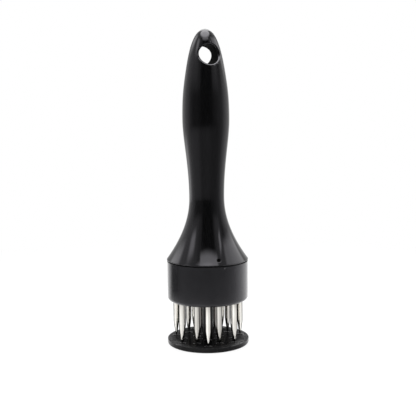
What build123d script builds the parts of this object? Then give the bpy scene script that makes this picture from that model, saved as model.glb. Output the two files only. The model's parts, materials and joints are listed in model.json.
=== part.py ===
from build123d import *
import os
from math import cos, radians, sin

# Blade meat tenderizer: a handle, a twist-off blade head and a sprung guard.
# Millimetres, +Z up. The origin is the centre of the guard disc's underside,
# so the tool stands on Z = 0. The hanging hole runs along Y.
os.makedirs("parts", exist_ok=True)

# ---------------------------------------------------------------- guard disc
GUARD_OVERHANG = 0.3        # how far the disc stands out past the collar
GUARD_THICKNESS = 3.0
GUARD_TOP_ROUND = 0.5
GUARD_FOOT_ROUND = 0.9

# -------------------------------------------------------------------- collar
COLLAR_RADIUS = 25.4
COLLAR_HEIGHT = 24.6
COLLAR_WALL = 2.0
COLLAR_FLOOR = 3.0
COLLAR_FOOT_ROUND = 2.0
COLLAR_RIM_CHAMFER = 0.35

# -------------------------------------------------------------------- blades
EXPOSED_BLADE = 25.0        # guard's top face to the collar's underside
BLADE_WIDTH = 3.4
BLADE_THICKNESS = 1.1       # over the centre ridges
BLADE_EDGE = 0.45           # thickness of the two long edges
BLADE_POINT = 9.8           # length of the taper
BLADE_SHOULDER = 4.6        # length of the taper's steeper lower part
SHOULDER_WIDTH = 2.0        # width where the taper steepens
TIP_WIDTH = 0.2
TIP_BEVEL = 3.0             # length over which the tip is also ground thin
TIP_THICKNESS = 0.3
TIP_DEPTH = 0.6             # how far the tips stand in the guard's slots
BLADE_EMBED = 9.0           # tang moulded into the block
BLADES_PER_RING = 7
BLOCK_RIM = 0.7             # block left outside the outermost blade edge
MIDDLE_RING_INSET = 4.8     # from the outer ring in to the middle ring
INNER_RING_WEB = 2.5        # from the post to the nearest inner blade edge
SLOT_CLEARANCE = 0.3        # round a blade where it runs through a slot
HEAD_TURN = -17.0           # degrees, where the twist lock leaves the blades

# --------------------------------------------------------------- blade block
BLOCK_HEIGHT = 10.0
BLOCK_CLEARANCE = 0.1       # radial, in the collar's bore

# -------------------------------------------------------- guide post and stop
POST_RADIUS = 3.3
POST_CLEARANCE = 0.08       # radial running fit in the blade block
POST_FLOOR_CLEARANCE = 0.4  # radial, through the collar's floor
POST_SEAT_DEPTH = 1.0       # recess in the guard that locates the post
SEAT_CLEARANCE = 0.03
STOP_GAP = 0.1              # stop washer above the block when the tool rests
STOP_RADIUS = 5.0
STOP_THICKNESS = 1.2
TRAVEL_SPARE = 0.3          # left between guard and collar when fully pressed

# -------------------------------------------------------------------- screws
SCREW_RADIUS = 1.45
SCREW_CLEARANCE = 0.05
STOP_SCREW_LENGTH = 10.0
SCREW_HOLE_SPARE = 1.0      # drilled on past the screw's end
STOP_HEAD_RADIUS = 2.7
STOP_HEAD_HEIGHT = 1.6
GUARD_SCREW_LENGTH = 12.0
GUARD_HEAD_RADIUS = 2.8
GUARD_HEAD_RECESS = 0.3     # head kept clear of the table
CONE_CLEARANCE = 0.04
DRIVE_RADIUS = 0.9          # hexagon socket in each head
DRIVE_DEPTH = 0.9

# -------------------------------------------------------------------- handle
SEAM_GAP = 0.25             # between the collar and the handle's lip
LIP_OVERHANG = 0.3          # handle's base stands out past the collar
LIP_ROUND = 0.15
HANDLE_LENGTH = 142.15      # seam to tip
FLARE_SLOPE = 0.72          # radius lost per unit of height at the lip
FLARE_REACH = 19.0          # height over which that slope acts
WAIST_RADIUS = 10.9
WAIST_HEIGHT = 39.5         # above the lip
WAIST_REACH_DOWN = 6.9      # how far the curves run straight at the waist
WAIST_REACH_UP = 21.1
BELLY_RADIUS = 14.5
BELLY_DROP = 54.4           # below the tip
BELLY_REACH_DOWN = 12.6     # how far the curves run straight at the belly
BELLY_REACH_UP = 28.2
HEAD_RADIUS = 11.0          # pulls the head's sides in, at a drop below the tip
HEAD_DROP = 37.4
TIP_FULLNESS = 12.75        # how broad the rounded tip is
HOLE_RADIUS = 6.0
HOLE_DROP = 15.75           # hole's centre below the tip
HOLE_MOUTH_ROUND = 0.9

SHELL_WALL = 3.0            # flare wall, measured across
SKIRT_WALL = 2.6            # spigot that plugs into the collar
SKIRT_CLEARANCE = 0.08      # radial running fit in the collar's bore
CLAMP_GAP = 0.15            # spigot's end above the blade block
TUNNEL_RADIUS = 5.6
TUNNEL_HEIGHT = 44.0
TUNNEL_WALL = 2.0
POCKET_HEIGHT = 25.0
RIB_COUNT = 6
RIB_THICKNESS = 1.8

# ---------------------------------------------------------------- twist lock
LUG_COUNT = 3
LUG_ARC = 20.0              # degrees
LUG_DEPTH = 0.85
LUG_HEIGHT = 2.2
LUG_DROP = 8.6              # lug's underside below the seam
LUG_CLEARANCE = 0.15
LUG_ROOT = 0.5              # overlap that joins a lug to the spigot
LOCK_TWIST = 30.0           # degrees from locked to free
ARC_CLEARANCE = 1.5         # degrees at each end of the groove
LOCK_DOT_RADIUS = 1.6
LOCK_DOT_DEPTH = 0.5
LOCK_DOT_REACH = 3.7        # from the lip, along the flare
MARK_RADIUS = 1.1
MARK_DEPTH = 0.35
MARK_DROP = 1.3             # below the collar's rim
MARK_TURN = 8.0             # degrees round from the handle's dot

# -------------------------------------------------------------------- spring
SPRING_RADIUS = 4.1         # to the middle of the wire
WIRE_RADIUS = 0.45
WIRE_SIDE_COUNT = 8         # the coil is hidden, so its wire has flats
SPRING_TURNS = 8
SPRING_SEAT_GAP = 0.02

# ------------------------------------------------------------ derived levels
collar_bottom = GUARD_THICKNESS + EXPOSED_BLADE
collar_top = collar_bottom + COLLAR_HEIGHT
handle_base = collar_top + SEAM_GAP
handle_tip = handle_base + HANDLE_LENGTH
block_bottom = collar_bottom + COLLAR_FLOOR
block_top = block_bottom + BLOCK_HEIGHT
skirt_bottom = block_top + CLAMP_GAP
post_bottom = GUARD_THICKNESS - POST_SEAT_DEPTH
post_top = block_top + STOP_GAP
stop_top = post_top + STOP_THICKNESS
stop_head_top = stop_top + STOP_HEAD_HEIGHT
stop_screw_bottom = stop_top - STOP_SCREW_LENGTH
guard_screw_top = GUARD_HEAD_RECESS + GUARD_SCREW_LENGTH
tunnel_top = handle_base + TUNNEL_HEIGHT
hole_level = handle_tip - HOLE_DROP
waist_level = handle_base + WAIST_HEIGHT
belly_level = handle_tip - BELLY_DROP
travel = EXPOSED_BLADE - TRAVEL_SPARE

# ------------------------------------------------------------- derived radii
guard_radius = COLLAR_RADIUS + GUARD_OVERHANG
collar_bore = COLLAR_RADIUS - COLLAR_WALL
block_radius = collar_bore - BLOCK_CLEARANCE
skirt_radius = collar_bore - SKIRT_CLEARANCE
lug_radius = skirt_radius + LUG_DEPTH
groove_radius = lug_radius + LUG_CLEARANCE
screw_hole = SCREW_RADIUS + SCREW_CLEARANCE
tube_radius = TUNNEL_RADIUS + TUNNEL_WALL
outer_ring = block_radius - BLOCK_RIM - BLADE_WIDTH / 2
middle_ring = outer_ring - MIDDLE_RING_INSET
inner_ring = POST_RADIUS + INNER_RING_WEB + BLADE_WIDTH / 2
half_pitch = 180 / BLADES_PER_RING

BLADE_RINGS = {
    "outer": (outer_ring, 0),
    "middle": (middle_ring, half_pitch),
    "inner": (inner_ring, 0),
}


def disc(radius, bottom, top):
    """A plain cylinder on the tool's axis."""
    return Pos(0, 0, bottom) * extrude(Circle(radius), top - bottom)


def ring_sector(inner, outer, bottom, height, start, arc):
    """Part of a ring, from angle start through arc, in degrees about Z."""
    middle = Pos((inner + outer) / 2, bottom + height / 2)
    section = Plane.XZ * middle * Rectangle(outer - inner, height)
    return Rot(0, 0, start) * revolve(section, Axis.Z, arc)


def blade_places(ring):
    """The blades' centres in one ring. All blades face the same way."""
    radius, phase = BLADE_RINGS[ring]
    for index in range(BLADES_PER_RING):
        angle = radians(phase + index * 360 / BLADES_PER_RING)
        yield Rot(0, 0, HEAD_TURN) * Pos(radius * sin(angle), -radius * cos(angle))


def every_blade_place():
    return [place for ring in BLADE_RINGS for place in blade_places(ring)]


def blade_slots(bottom, top):
    """The slots that all the blades run through, at a named clearance."""
    slot = Rectangle(BLADE_WIDTH + 2 * SLOT_CLEARANCE, BLADE_THICKNESS + 2 * SLOT_CLEARANCE)
    return [place * Pos(0, 0, bottom) * extrude(slot, top - bottom) for place in every_blade_place()]


# -------------------------------------------------------------------- blades
def blade_section():
    """A flat strip with a low ridge along the middle of both faces."""
    side, edge, ridge = BLADE_WIDTH / 2, BLADE_EDGE / 2, BLADE_THICKNESS / 2
    return make_face(
        Polyline(
            (-side, -edge), (0, -ridge), (side, -edge),
            (side, edge), (0, ridge), (-side, edge), close=True,
        )
    )


def blade():
    """One blade on the tool's axis: ridged strip, long point, thinned tip."""
    tip = GUARD_THICKNESS - TIP_DEPTH
    root = block_bottom + BLADE_EMBED
    side, shoulder, point = BLADE_WIDTH / 2, SHOULDER_WIDTH / 2, TIP_WIDTH / 2
    front = make_face(
        Polyline(
            (-side, root), (-side, tip + BLADE_POINT), (-shoulder, tip + BLADE_SHOULDER),
            (-point, tip), (point, tip), (shoulder, tip + BLADE_SHOULDER),
            (side, tip + BLADE_POINT), (side, root), close=True,
        )
    )
    flank = make_face(
        Polyline(
            (-BLADE_THICKNESS, root), (-BLADE_THICKNESS / 2, tip + TIP_BEVEL), (-TIP_THICKNESS / 2, tip),
            (TIP_THICKNESS / 2, tip), (BLADE_THICKNESS / 2, tip + TIP_BEVEL), (BLADE_THICKNESS, root),
            close=True,
        )
    )
    strip = Pos(0, 0, tip) * extrude(blade_section(), root - tip)
    face_on = extrude(Plane.XZ * front, BLADE_THICKNESS, both=True)
    edge_on = extrude(Plane.YZ * flank, BLADE_WIDTH, both=True)
    return strip & face_on & edge_on


# ---------------------------------------------------------------- blade head
def blade_block():
    """Disc that the tangs are moulded into, bored for the guide post."""
    block = disc(block_radius, block_bottom, block_top)
    tang = Pos(0, 0, block_bottom) * extrude(blade_section(), BLADE_EMBED)
    block -= [place * tang for place in every_blade_place()]
    return block - disc(POST_RADIUS + POST_CLEARANCE, block_bottom, block_top)


def lock_grooves():
    """Bayonet grooves in the collar's bore: a level run and its way out."""
    inner = collar_bore - LUG_ROOT
    bottom = handle_base - LUG_DROP - LUG_CLEARANCE
    run_height = LUG_HEIGHT + 2 * LUG_CLEARANCE
    lug_span = LUG_ARC + 2 * ARC_CLEARANCE
    for index in range(LUG_COUNT):
        start = index * 360 / LUG_COUNT - LOCK_TWIST - ARC_CLEARANCE
        yield ring_sector(inner, groove_radius, bottom, run_height, start, lug_span + LOCK_TWIST)
        yield ring_sector(inner, groove_radius, bottom, collar_top - bottom, start, lug_span)


def collar():
    """Cup that carries the blade block: slotted floor, bayonet bore."""
    body = disc(COLLAR_RADIUS, collar_bottom, collar_top)
    outer_edges = body.edges().filter_by(GeomType.CIRCLE).sort_by(Axis.Z)
    body = fillet(outer_edges[0], COLLAR_FOOT_ROUND)
    body = chamfer(body.edges().filter_by(GeomType.CIRCLE).sort_by(Axis.Z)[-1], COLLAR_RIM_CHAMFER)
    body -= disc(collar_bore, block_bottom, collar_top)
    body -= disc(POST_RADIUS + POST_FLOOR_CLEARANCE, collar_bottom, block_bottom)
    body -= blade_slots(collar_bottom, block_bottom)
    body -= list(lock_grooves())
    mark_centre = Pos(0, -(COLLAR_RADIUS + MARK_RADIUS - MARK_DEPTH), collar_top - MARK_DROP)
    return body - Rot(0, 0, MARK_TURN) * mark_centre * Sphere(MARK_RADIUS)


# --------------------------------------------------------------------- guard
def countersink(clearance):
    """Cone and shank of the screw that holds the post down on the guard."""
    seat = GUARD_HEAD_RADIUS - SCREW_RADIUS
    cone = Pos(0, 0, GUARD_HEAD_RECESS + seat / 2) * Cone(
        GUARD_HEAD_RADIUS + clearance, SCREW_RADIUS + clearance, seat
    )
    return cone + disc(SCREW_RADIUS + clearance, GUARD_HEAD_RECESS, guard_screw_top)


def guard_disc():
    """The plate that rides up the blades: a slot for each, a seat for the post."""
    plate = disc(guard_radius, 0, GUARD_THICKNESS)
    rims = plate.edges().filter_by(GeomType.CIRCLE).sort_by(Axis.Z)
    plate = fillet(rims[0], GUARD_FOOT_ROUND)
    plate = fillet(plate.edges().filter_by(GeomType.CIRCLE).sort_by(Axis.Z)[-1], GUARD_TOP_ROUND)
    plate -= blade_slots(0, GUARD_THICKNESS)
    plate -= disc(POST_RADIUS + SEAT_CLEARANCE, post_bottom, GUARD_THICKNESS)
    plate -= disc(GUARD_HEAD_RADIUS + CONE_CLEARANCE, 0, GUARD_HEAD_RECESS)
    return plate - countersink(CONE_CLEARANCE)


def guide_post():
    """Plain rod with a screw hole in each end."""
    post = disc(POST_RADIUS, post_bottom, post_top)
    post -= disc(screw_hole, post_bottom, guard_screw_top + SCREW_HOLE_SPARE)
    return post - disc(screw_hole, stop_screw_bottom - SCREW_HOLE_SPARE, post_top)


def drive_socket(bottom):
    """The hexagon that a key turns a screw by."""
    return Pos(0, 0, bottom) * extrude(RegularPolygon(DRIVE_RADIUS, 6), DRIVE_DEPTH)


def guard_screw():
    return countersink(0) - drive_socket(GUARD_HEAD_RECESS)


def stop_washer():
    return disc(STOP_RADIUS, post_top, stop_top) - disc(screw_hole, post_top, stop_top)


def stop_screw():
    head = disc(STOP_HEAD_RADIUS, stop_top, stop_head_top)
    shank = disc(SCREW_RADIUS, stop_screw_bottom, stop_top)
    return head + shank - drive_socket(stop_head_top - DRIVE_DEPTH)


def return_spring():
    """Compression coil between the stop washer and the tunnel's roof."""
    first = stop_top + WIRE_RADIUS + SPRING_SEAT_GAP
    height = tunnel_top - WIRE_RADIUS - SPRING_SEAT_GAP - first
    path = Helix(height / SPRING_TURNS, height, SPRING_RADIUS, center=(0, 0, first))
    wire = Plane(origin=path @ 0, z_dir=path % 0) * RegularPolygon(WIRE_RADIUS, WIRE_SIDE_COUNT)
    return sweep(wire, path, is_frenet=True)


# -------------------------------------------------------------------- handle
def outline(inset):
    """Half outline of the handle, seam to tip, moved in by inset."""
    def at(radius, level):
        return (radius - inset, level)

    lip = COLLAR_RADIUS + LIP_OVERHANG
    flare = Bezier(
        at(lip, handle_base), at(lip - FLARE_SLOPE * FLARE_REACH, handle_base + FLARE_REACH),
        at(WAIST_RADIUS, waist_level - WAIST_REACH_DOWN), at(WAIST_RADIUS, waist_level),
    )
    grip = Bezier(
        at(WAIST_RADIUS, waist_level), at(WAIST_RADIUS, waist_level + WAIST_REACH_UP),
        at(BELLY_RADIUS, belly_level - BELLY_REACH_DOWN), at(BELLY_RADIUS, belly_level),
    )
    head = Bezier(
        at(BELLY_RADIUS, belly_level), at(BELLY_RADIUS, belly_level + BELLY_REACH_UP),
        at(HEAD_RADIUS, handle_tip - HEAD_DROP), at(TIP_FULLNESS, handle_tip), (0, handle_tip),
    )
    return flare, grip, head


def grip_body():
    """The solid outside form of the handle, with its rounded lip."""
    flare, grip, head = outline(0)
    close = Polyline(head @ 1, (0, handle_base), flare @ 0)
    body = revolve(Plane.XZ * make_face(Wire([flare, grip, head] + close.edges())), Axis.Z)
    lip = body.edges().filter_by(GeomType.CIRCLE).sort_by(Axis.Z)[0]
    return fillet(lip, LIP_ROUND)


def hanging_hole(body):
    """Cross hole for hanging up, with rounded mouths."""
    drill = Pos(0, 0, hole_level) * Rot(90, 0, 0) * Cylinder(HOLE_RADIUS, 2 * COLLAR_RADIUS)
    before = body.edges()
    body -= drill
    mouths = (body.edges() - before).filter_by(GeomType.LINE, reverse=True)
    return fillet(mouths, HOLE_MOUTH_ROUND)


def moulded_pockets():
    """Hollow of the flare and spigot, split by the spring tube and the ribs."""
    flare, _, _ = outline(SHELL_WALL)
    close = Polyline(flare @ 1, (0, waist_level), (0, handle_base), flare @ 0)
    hollow = revolve(Plane.XZ * make_face(Wire([flare] + close.edges())), Axis.Z)
    bore = skirt_radius - SKIRT_WALL
    hollow &= disc(bore, handle_base, handle_base + POCKET_HEIGHT)
    hollow += disc(bore, skirt_bottom, handle_base)
    hollow -= disc(tube_radius, skirt_bottom, handle_tip)
    height = handle_tip - skirt_bottom
    rib = Pos(0, 0, skirt_bottom + height / 2) * Box(2 * COLLAR_RADIUS, RIB_THICKNESS, height)
    return hollow - [Rot(0, 0, index * 360 / RIB_COUNT) * rib for index in range(RIB_COUNT // 2)]


def lock_dot():
    """Moulded dimple on the flare that marks the locked place."""
    flare, _, _ = outline(0)
    spot = flare.position_at(LOCK_DOT_REACH, PositionMode.LENGTH)
    along = flare.tangent_at(LOCK_DOT_REACH, PositionMode.LENGTH)
    centre = spot + Vector(along.Y, -along.X) * (LOCK_DOT_RADIUS - LOCK_DOT_DEPTH)
    return Pos(0, -centre.X, centre.Y) * Sphere(LOCK_DOT_RADIUS)


def handle():
    body = hanging_hole(grip_body())
    body += disc(skirt_radius, skirt_bottom, handle_base)
    for index in range(LUG_COUNT):
        start = index * 360 / LUG_COUNT
        lug_bottom = handle_base - LUG_DROP
        body += ring_sector(skirt_radius - LUG_ROOT, lug_radius, lug_bottom, LUG_HEIGHT, start, LUG_ARC)
    body -= disc(TUNNEL_RADIUS, skirt_bottom, tunnel_top)
    body -= moulded_pockets()
    return body - lock_dot()


nodes = {
    "handle": handle(),
    "collar": collar(),
    "blade_block": blade_block(),
    "guard_disc": guard_disc(),
    "guide_post": guide_post(),
    "guard_screw": guard_screw(),
    "stop_washer": stop_washer(),
    "stop_screw": stop_screw(),
    "return_spring": return_spring(),
}
blank = blade()
for ring in BLADE_RINGS:
    for number, place in enumerate(blade_places(ring), start=1):
        nodes[f"{ring}_blade_{number}"] = place * blank

for name, solid in nodes.items():
    export_step(solid, f"parts/{name}.step")

print("guard travel", round(travel, 3), "mm; overall height", round(handle_tip, 3), "mm")
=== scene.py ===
import json
from math import atan2, cos, degrees, hypot, pi, radians, sin, sqrt, tan

import bmesh
import bpy
import numpy as np
from mathutils import Matrix, Vector
from mathutils.geometry import delaunay_2d_cdt


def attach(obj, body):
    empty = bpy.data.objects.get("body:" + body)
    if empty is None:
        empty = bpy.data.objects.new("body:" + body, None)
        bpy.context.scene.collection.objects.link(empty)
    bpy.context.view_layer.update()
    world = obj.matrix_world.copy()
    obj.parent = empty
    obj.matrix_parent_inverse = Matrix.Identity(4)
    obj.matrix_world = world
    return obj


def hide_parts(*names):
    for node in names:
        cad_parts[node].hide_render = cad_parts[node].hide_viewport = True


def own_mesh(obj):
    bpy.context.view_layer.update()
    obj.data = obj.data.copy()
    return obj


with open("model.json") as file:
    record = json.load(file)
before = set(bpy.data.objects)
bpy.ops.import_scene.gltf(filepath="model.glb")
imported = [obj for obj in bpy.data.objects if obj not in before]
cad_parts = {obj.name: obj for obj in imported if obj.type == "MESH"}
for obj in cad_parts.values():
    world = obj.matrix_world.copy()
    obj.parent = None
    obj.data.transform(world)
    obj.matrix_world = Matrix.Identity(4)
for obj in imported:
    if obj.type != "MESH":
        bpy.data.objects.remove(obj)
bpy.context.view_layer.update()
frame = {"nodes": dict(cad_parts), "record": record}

MM = 0.001

# ---- the view
VIEW_AZIMUTH = radians(-17.0)  # the camera stands this far round from -Y
VIEW_DISTANCE = 0.460  # level distance from the tool's axis
VIEW_HEIGHT = 0.140
VIEW_PITCH = radians(6.755)  # looking down
VIEW_YAW = radians(-0.09)
VIEW_ROLL = radians(-0.64)
VIEW_FIELD = radians(31.34)

# ---- the tool's sizes, in mm
ROUND_COLUMNS = 128  # columns of vertices round a large form
BORE_COLUMNS = 48  # and round a small bore

DISC_RADIUS = 25.69
DISC_TOP = 3.0
DISC_TOP_ROUND = 0.25
DISC_FOOT_ROUND = 0.9
DISC_MOUTH_ROUND = 0.32  # softened mouths of the blade slots
# The post's seat and the guard screw's countersink: radius and level
SEAT_PROFILE = ((3.33, 3.0), (3.33, 2.0), (1.49, 2.0), (1.49, 1.65), (2.84, 0.3), (2.84, 0.0))

COLLAR_RADIUS = 25.4
COLLAR_BOTTOM = 28.0
COLLAR_FLOOR_TOP = 31.0
COLLAR_TOP = 52.6
COLLAR_BORE = 23.4
COLLAR_FOOT_ROUND = 2.0
COLLAR_RIM_ROUND = 0.15
COLLAR_MOUTH_ROUND = 0.15
COLLAR_POST_HOLE = 3.7
COLLAR_ROWS = (33, 36, 39, 42, 45, 47.5, 49.2, 50.2, 50.75, 51.3, 51.75)
GROOVE_RADIUS = 24.32
GROOVE_BOTTOM = 44.1
GROOVE_TOP = 46.6
MARK_LEVEL = 51.3  # turning mark on the collar
MARK_TURN = radians(8.0)
MARK_RADIUS = 0.76
MARK_DEPTH = 0.3
MARK_WINDOW = (50.2, COLLAR_TOP - COLLAR_RIM_ROUND)  # the levels that its own mesh fills
DENT_SOFTNESS = 0.0025  # of the rim of the mark and of the dimple on the handle, in mm squared

RINGS = (("outer", 20.9, 0.0), ("middle", 16.1, pi / 7), ("inner", 7.5, 0.0))
RING_SHADE = {"outer": 0.0, "middle": 0.35, "inner": 1.0}  # painted shade: further in, the blades get a darker steel colour, as the blades in front shade them
BLADES_PER_RING = 7
HEAD_TURN = radians(-17.0)
HEAD_SPIN = Matrix.Rotation(HEAD_TURN, 3, "Z")
SLOT_HALF_WIDTH = 2.0
SLOT_HALF_DEPTH = 0.85
SLOT_CORNER = 0.25
MOUTH_STEPS = 3  # faces across a slot's softened mouth

BLADE_TIP = 2.4
BLADE_ROOT = 40.0
BLADE_HALF_WIDTH = 1.7
BLADE_HALF_RIDGE = 0.55
BLADE_HALF_EDGE = 0.225
BLADE_BEVEL = 0.48  # width of the ground bevel along each edge
# By height above the tip: the point's half width, and the most that its half thickness can be
POINT_WIDTHS = ((0, 0.12), (4.6, 1.0), (9.8, BLADE_HALF_WIDTH))
POINT_DEPTHS = ((0, 0.15), (3.0, BLADE_HALF_RIDGE))
POINT_ROWS = (0, 0.5, 1.4, 2.6, 3.1, 4.4, 4.9, 7, 9.5, 10.1)
SHANK_ROWS = (17, 22, 27, 29)

LIP = 52.85  # level at which the handle sits over the collar
EDGE = 53.3  # its visible edge is rebated, which leaves a dark line at the seam
REBATE_RADIUS = 24.5
TIP = 194.99
WAIST = 92.35
BELLY = 140.6
FLARE_CURVE = ((25.84, EDGE), (12.02, LIP + 19.0), (10.9, WAIST - 6.9), (10.9, WAIST))
GRIP_CURVE = ((10.9, WAIST), (10.9, WAIST + 21.1), (14.5, BELLY - 12.6), (14.5, BELLY))
HEAD_CURVE = ((14.5, BELLY), (14.5, BELLY + 28.2), (11.0, TIP - 37.4), (12.75, TIP), (0.0, TIP))
LIP_ROUND = 0.3
HOLE_LEVEL = 179.25
HOLE_RADIUS = 6.0
HOLE_ROUND = 0.75
HOLE_FLATNESS = 0.7  # how far the mouth's rounding is flattened towards a chamfer
HOLE_STEPS = 7  # faces across that rounding
HOLE_WINDOW = (-9.6, 9.4)  # levels from the hole's middle that its own mesh fills
HOLE_WINDOW_COLUMNS = 18  # and columns each way
DOT_REACH = 3.8  # dimple on the flare, measured along it from the lip
DOT_RADIUS = 1.2
DOT_DEPTH = 0.5
DOT_WINDOW = (-2.3, 2.3)  # lengths from the dimple's middle that its own mesh fills
DOT_WINDOW_COLUMNS = 2
DOT_RIM_RINGS = 5  # rings of that mesh that are as glossy as the flare
SKIRT_BOTTOM = 41.15
SKIRT_OUTER = 23.32
SKIRT_INNER = 20.72
LUG_RADIUS = 24.17
LUG_LEVELS = (44.25, 46.45)
TUNNEL_RADIUS = 5.6
TUNNEL_TOP = 96.85
TUBE_RADIUS = 7.6
POCKET_TOP = 77.85
SHELL_WALL = 3.0
RIB_COUNT = 6
RIB_THICKNESS = 1.8
RIB_SINK = 0.05  # how far a rib runs into what it stands on
PARTING_HEIGHT = 0.045  # faint ridge where the mould's halves met
PARTING_HALF_WIDTH = radians(0.8)
PARTING_TURNS = (pi / 2, 3 * pi / 2)

# The bayonet, in degrees round the axis
LUG_COUNT = 3
LUG_PITCH = 120
LUG_START = 90
LUG_ARC = 20
LUG_PLAY = 1.5  # between a lug and each end of its groove
LOCK_TWIST = 30
ENTRY_ARC = LUG_ARC + 2 * LUG_PLAY
GROOVE_ARC = ENTRY_ARC + LOCK_TWIST
GROOVE_START = LUG_START - LOCK_TWIST - LUG_PLAY

SPRING_RADIUS = 4.1
WIRE_RADIUS = 0.45
WIRE_SIDES = 10
SPRING_BOTTOM = 42.3
SPRING_GAP = 0.02  # at each end of the coil, and twice that between its close turns
SPRING_TURNS = 9  # in all, with a close one at each end
SPRING_STEPS = 28  # to a turn


# ---- curves, loops
def bezier(points, t):
    points = [Vector(p) for p in points]
    while len(points) > 1:
        points = [a.lerp(b, t) for a, b in zip(points, points[1:])]
    return points[0]


def arc(center, radius, start, stop, steps):
    """Points of an arc in the (radius, level) plane, angles in degrees."""
    turns = [radians(start + (stop - start) * i / steps) for i in range(steps + 1)]
    return [(center[0] + radius * cos(a), center[1] + radius * sin(a)) for a in turns]


def read_off(pairs, place):
    """The value that a table of pairs gives at a place, straight between its rows."""
    return float(np.interp(place, *zip(*pairs)))


def nearest(values, wanted):
    """Which of the values is nearest to the one that is wanted."""
    return min(range(len(values)), key=lambda i: abs(values[i] - wanted))


def even_turns(count):
    return [i * 2 * pi / count for i in range(count)]


class Outline:
    """The handle's outer profile by its length from the lip's sharp corner."""

    def __init__(self, inset=0.0):
        points = [bezier(FLARE_CURVE, i / 400) for i in range(400)]
        points += [bezier(GRIP_CURVE, i / 400) for i in range(400)]
        points += [bezier(HEAD_CURVE, i / 800) for i in range(801)]
        table = np.array([(p.x - inset, p.y) for p in points])
        self.radius, self.level = table[:, 0], table[:, 1]
        steps = np.hypot(np.diff(self.radius), np.diff(self.level))
        self.length = np.concatenate([[0], np.cumsum(steps)])

    def at(self, length):
        return tuple(float(np.interp(length, self.length, v)) for v in (self.radius, self.level))

    def length_at(self, level):
        return float(np.interp(level, self.level, self.length))

    def normal(self, length):
        a, b = self.at(max(length - 0.3, 0)), self.at(min(length + 0.3, self.length[-1]))
        return Vector((b[1] - a[1], a[0] - b[0])).normalized()


class Straight:
    """A plain round wall, measured like the handle's outline."""

    def at(self, length):
        return COLLAR_RADIUS, length

    def length_at(self, level):
        return level

    def normal(self, length):
        return Vector((1, 0))


def around(radius, level, turn):
    """A point of a round form. Turn 0 is at -Y, and a quarter turn is at +X."""
    return Vector((radius * sin(turn), -radius * cos(turn), level))


# ---- building forms
def ring_of(form, radius, level, turns):
    return [form.verts.new(around(radius, level, t)) for t in turns]


def bridge(form, lower, upper, material=0):
    """Quads between two loops of the same count."""
    count = len(lower)
    for i in range(count):
        j = (i + 1) % count
        form.faces.new((lower[i], lower[j], upper[j], upper[i])).material_index = material


def lathe(form, profile, turns, first=None):
    """Rings along a profile, joined by quads. First is a loop that is there already."""
    rings = [first] if first else []
    for radius, level in profile:
        rings.append(ring_of(form, radius, level, turns))
    for lower, upper in zip(rings, rings[1:]):
        bridge(form, lower, upper)
    return rings


def closed_loft(form, loops):
    """Joins loops of the same count and closes both ends."""
    for lower, upper in zip(loops, loops[1:]):
        bridge(form, lower, upper)
    form.faces.new(loops[0])
    form.faces.new(loops[-1])


def inside(point, loop):
    """Whether a flat point is in a flat loop."""
    hit = False
    for a, b in zip(loop, loop[1:] + loop[:1]):
        if (a[1] > point[1]) != (b[1] > point[1]):
            if point[0] < (b[0] - a[0]) * (point[1] - a[1]) / (b[1] - a[1]) + a[0]:
                hit = not hit
    return hit


def fill(form, outer, holes):
    """A flat face between an outer loop and the loops of its holes."""
    loops = [outer] + holes
    verts = [v for loop in loops for v in loop]
    edges, start = [], 0
    for loop in loops:
        edges += [(start + i, start + (i + 1) % len(loop)) for i in range(len(loop))]
        start += len(loop)
    flat = [Vector((v.co.x, v.co.y)) for v in verts]
    shapes = [[(v.co.x, v.co.y) for v in loop] for loop in holes]
    out = delaunay_2d_cdt(flat, edges, [], 0, 1e-7)
    source = [ids[0] for ids in out[3]]
    for triangle in out[2]:
        corners = [verts[source[i]] for i in triangle]
        middle = sum((c.co for c in corners), Vector()) / 3
        if not any(inside(middle, shape) for shape in shapes):
            form.faces.new(corners)


def add_object(name, data):
    """A new object in the scene."""
    thing = bpy.data.objects.new(name, data)
    bpy.context.scene.collection.objects.link(thing)
    return thing


# ---- windows in round forms
def quads_round_windows(form, grid, windows):
    """Quads between a grid's rings, left out in its windows, where the inner vertices go too."""
    count = len(grid[0])
    pairs = [{frozenset(p) for p in zip(columns, columns[1:])} for _, columns in windows]
    for row in range(len(grid) - 1):
        for column in range(count):
            after = (column + 1) % count
            if any(low <= row < high and frozenset((column, after)) in pair
                   for ((low, high), _), pair in zip(windows, pairs)):
                continue
            lower, upper = grid[row], grid[row + 1]
            form.faces.new((lower[column], lower[after], upper[after], upper[column]))
    for (low, high), columns in windows:
        for row in range(low + 1, high):
            for column in columns[1:-1]:
                form.verts.remove(grid[row][column])


def rim_of_window(grid, rows, columns):
    """The loop of grid vertices round a window, from its lower row upwards and back."""
    low, high = rows
    lower = [grid[low][c] for c in columns]
    right = [grid[r][columns[-1]] for r in range(low + 1, high)]
    upper = [grid[high][c] for c in reversed(columns)]
    left = [grid[r][columns[0]] for r in range(high - 1, low, -1)]
    return lower + right + upper + left


def rings_into(form, loop, rings, material=0):
    """Joins a loop to rings of as many points each, and returns the last loop."""
    for ring in rings:
        verts = [form.verts.new(p) for p in ring]
        bridge(form, loop, verts, material)
        loop = verts
    return loop


def cap_fan(form, loop, point, material=0):
    """Triangles from a loop to one point."""
    top = form.verts.new(point)
    for a, b in zip(loop, loop[1:] + loop[:1]):
        form.faces.new((a, b, top)).material_index = material


def dent_depth(reach, radius, depth):
    """Depth of a round dimple with a softened rim, at a reach from its middle."""
    cap = depth * (1 - (reach / radius) ** 2)
    return (cap + sqrt(cap * cap + DENT_SOFTNESS)) / 2


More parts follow.
